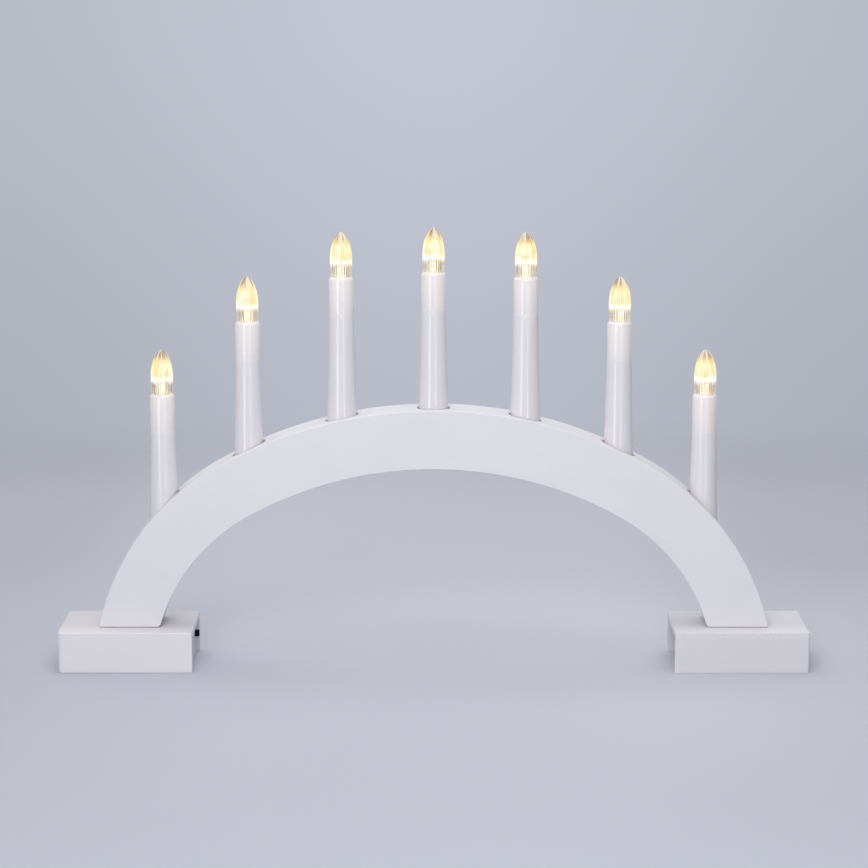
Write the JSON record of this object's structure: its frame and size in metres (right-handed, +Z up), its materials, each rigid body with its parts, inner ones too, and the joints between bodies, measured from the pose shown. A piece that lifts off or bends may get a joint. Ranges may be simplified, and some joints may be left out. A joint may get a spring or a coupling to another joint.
{
  "type": "electric advent candlestick",
  "caption": "White wooden arch on two hollow feet, carrying a row of battery-lit candle tubes with clear flame-shaped bulbs; battery case, sliding lid and slide switch in the left foot.",
  "frame": {"origin": "on the table, under the middle of the arch and of the depth of the feet", "axes": "+X along the arch towards the foot without batteries, +Y from the front to the back, +Z up"},
  "size_m": [0.41, 0.05, 0.2416],
  "materials": {
    "white_wood": "satin white paint on board",
    "candle_white": "glossy white moulding",
    "bulb_clear": "clear ribbed moulding, lit from inside",
    "led_warm": "clear warm white LED",
    "plated_steel": "plated",
    "cell_sleeve": "plain printed sleeve",
    "wire_red": "soft sleeve",
    "wire_black": "soft sleeve",
    "case_grey": "fine moulded grain",
    "switch_black": "satin",
    "circuit_green": "lacquered board"
  },
  "bodies": {
    "stand": {"left_foot_top": "white_wood", "left_foot_front": "white_wood", "left_foot_back": "white_wood", "left_foot_end": "white_wood", "right_foot_top": "white_wood", "right_foot_front": "white_wood", "right_foot_back": "white_wood", "right_foot_end": "white_wood", "arch_body": "white_wood", "groove_strip": "white_wood", "candle_1_tube": "candle_white", "candle_2_tube": "candle_white", "candle_3_tube": "candle_white", "candle_4_tube": "candle_white", "candle_5_tube": "candle_white", "candle_6_tube": "candle_white", "candle_7_tube": "candle_white", "candle_1_holder": "candle_white", "candle_2_holder": "candle_white", "candle_3_holder": "candle_white", "candle_4_holder": "candle_white", "candle_5_holder": "candle_white", "candle_6_holder": "candle_white", "candle_7_holder": "candle_white", "candle_1_bulb": "bulb_clear", "candle_2_bulb": "bulb_clear", "candle_3_bulb": "bulb_clear", "candle_4_bulb": "bulb_clear", "candle_5_bulb": "bulb_clear", "candle_6_bulb": "bulb_clear", "candle_7_bulb": "bulb_clear", "candle_1_led": "led_warm", "candle_2_led": "led_warm", "candle_3_led": "led_warm", "candle_4_led": "led_warm", "candle_5_led": "led_warm", "candle_6_led": "led_warm", "candle_7_led": "led_warm", "left_arch_screw_1": "plated_steel", "left_arch_screw_2": "plated_steel", "right_arch_screw_1": "plated_steel", "right_arch_screw_2": "plated_steel", "case_screw_1": "plated_steel", "case_screw_2": "plated_steel", "front_spring": "plated_steel", "back_spring": "plated_steel", "link_plate": "plated_steel", "positive_plate": "plated_steel", "negative_plate": "plated_steel", "switch_body": "plated_steel", "cell_front": "cell_sleeve", "cell_back": "cell_sleeve", "supply_wire_red": "wire_red", "battery_lead_red": "wire_red", "return_wire_black": "wire_black", "battery_lead_black": "wire_black", "battery_case": "case_grey", "switch_board": "circuit_green"},
    "lid": {"battery_lid": "case_grey"},
    "slider": {"switch_slider": "switch_black"}
  },
  "joints": [
    {"name": "battery_lid_slide", "type": "slide", "parent": "stand", "child": "lid", "axis": [1, 0, 0], "range_m": [0, 0.062]},
    {"name": "switch_slide", "type": "slide", "parent": "stand", "child": "slider", "axis": [0, -1, 0], "range_m": [0, 0.003]}
  ]
}
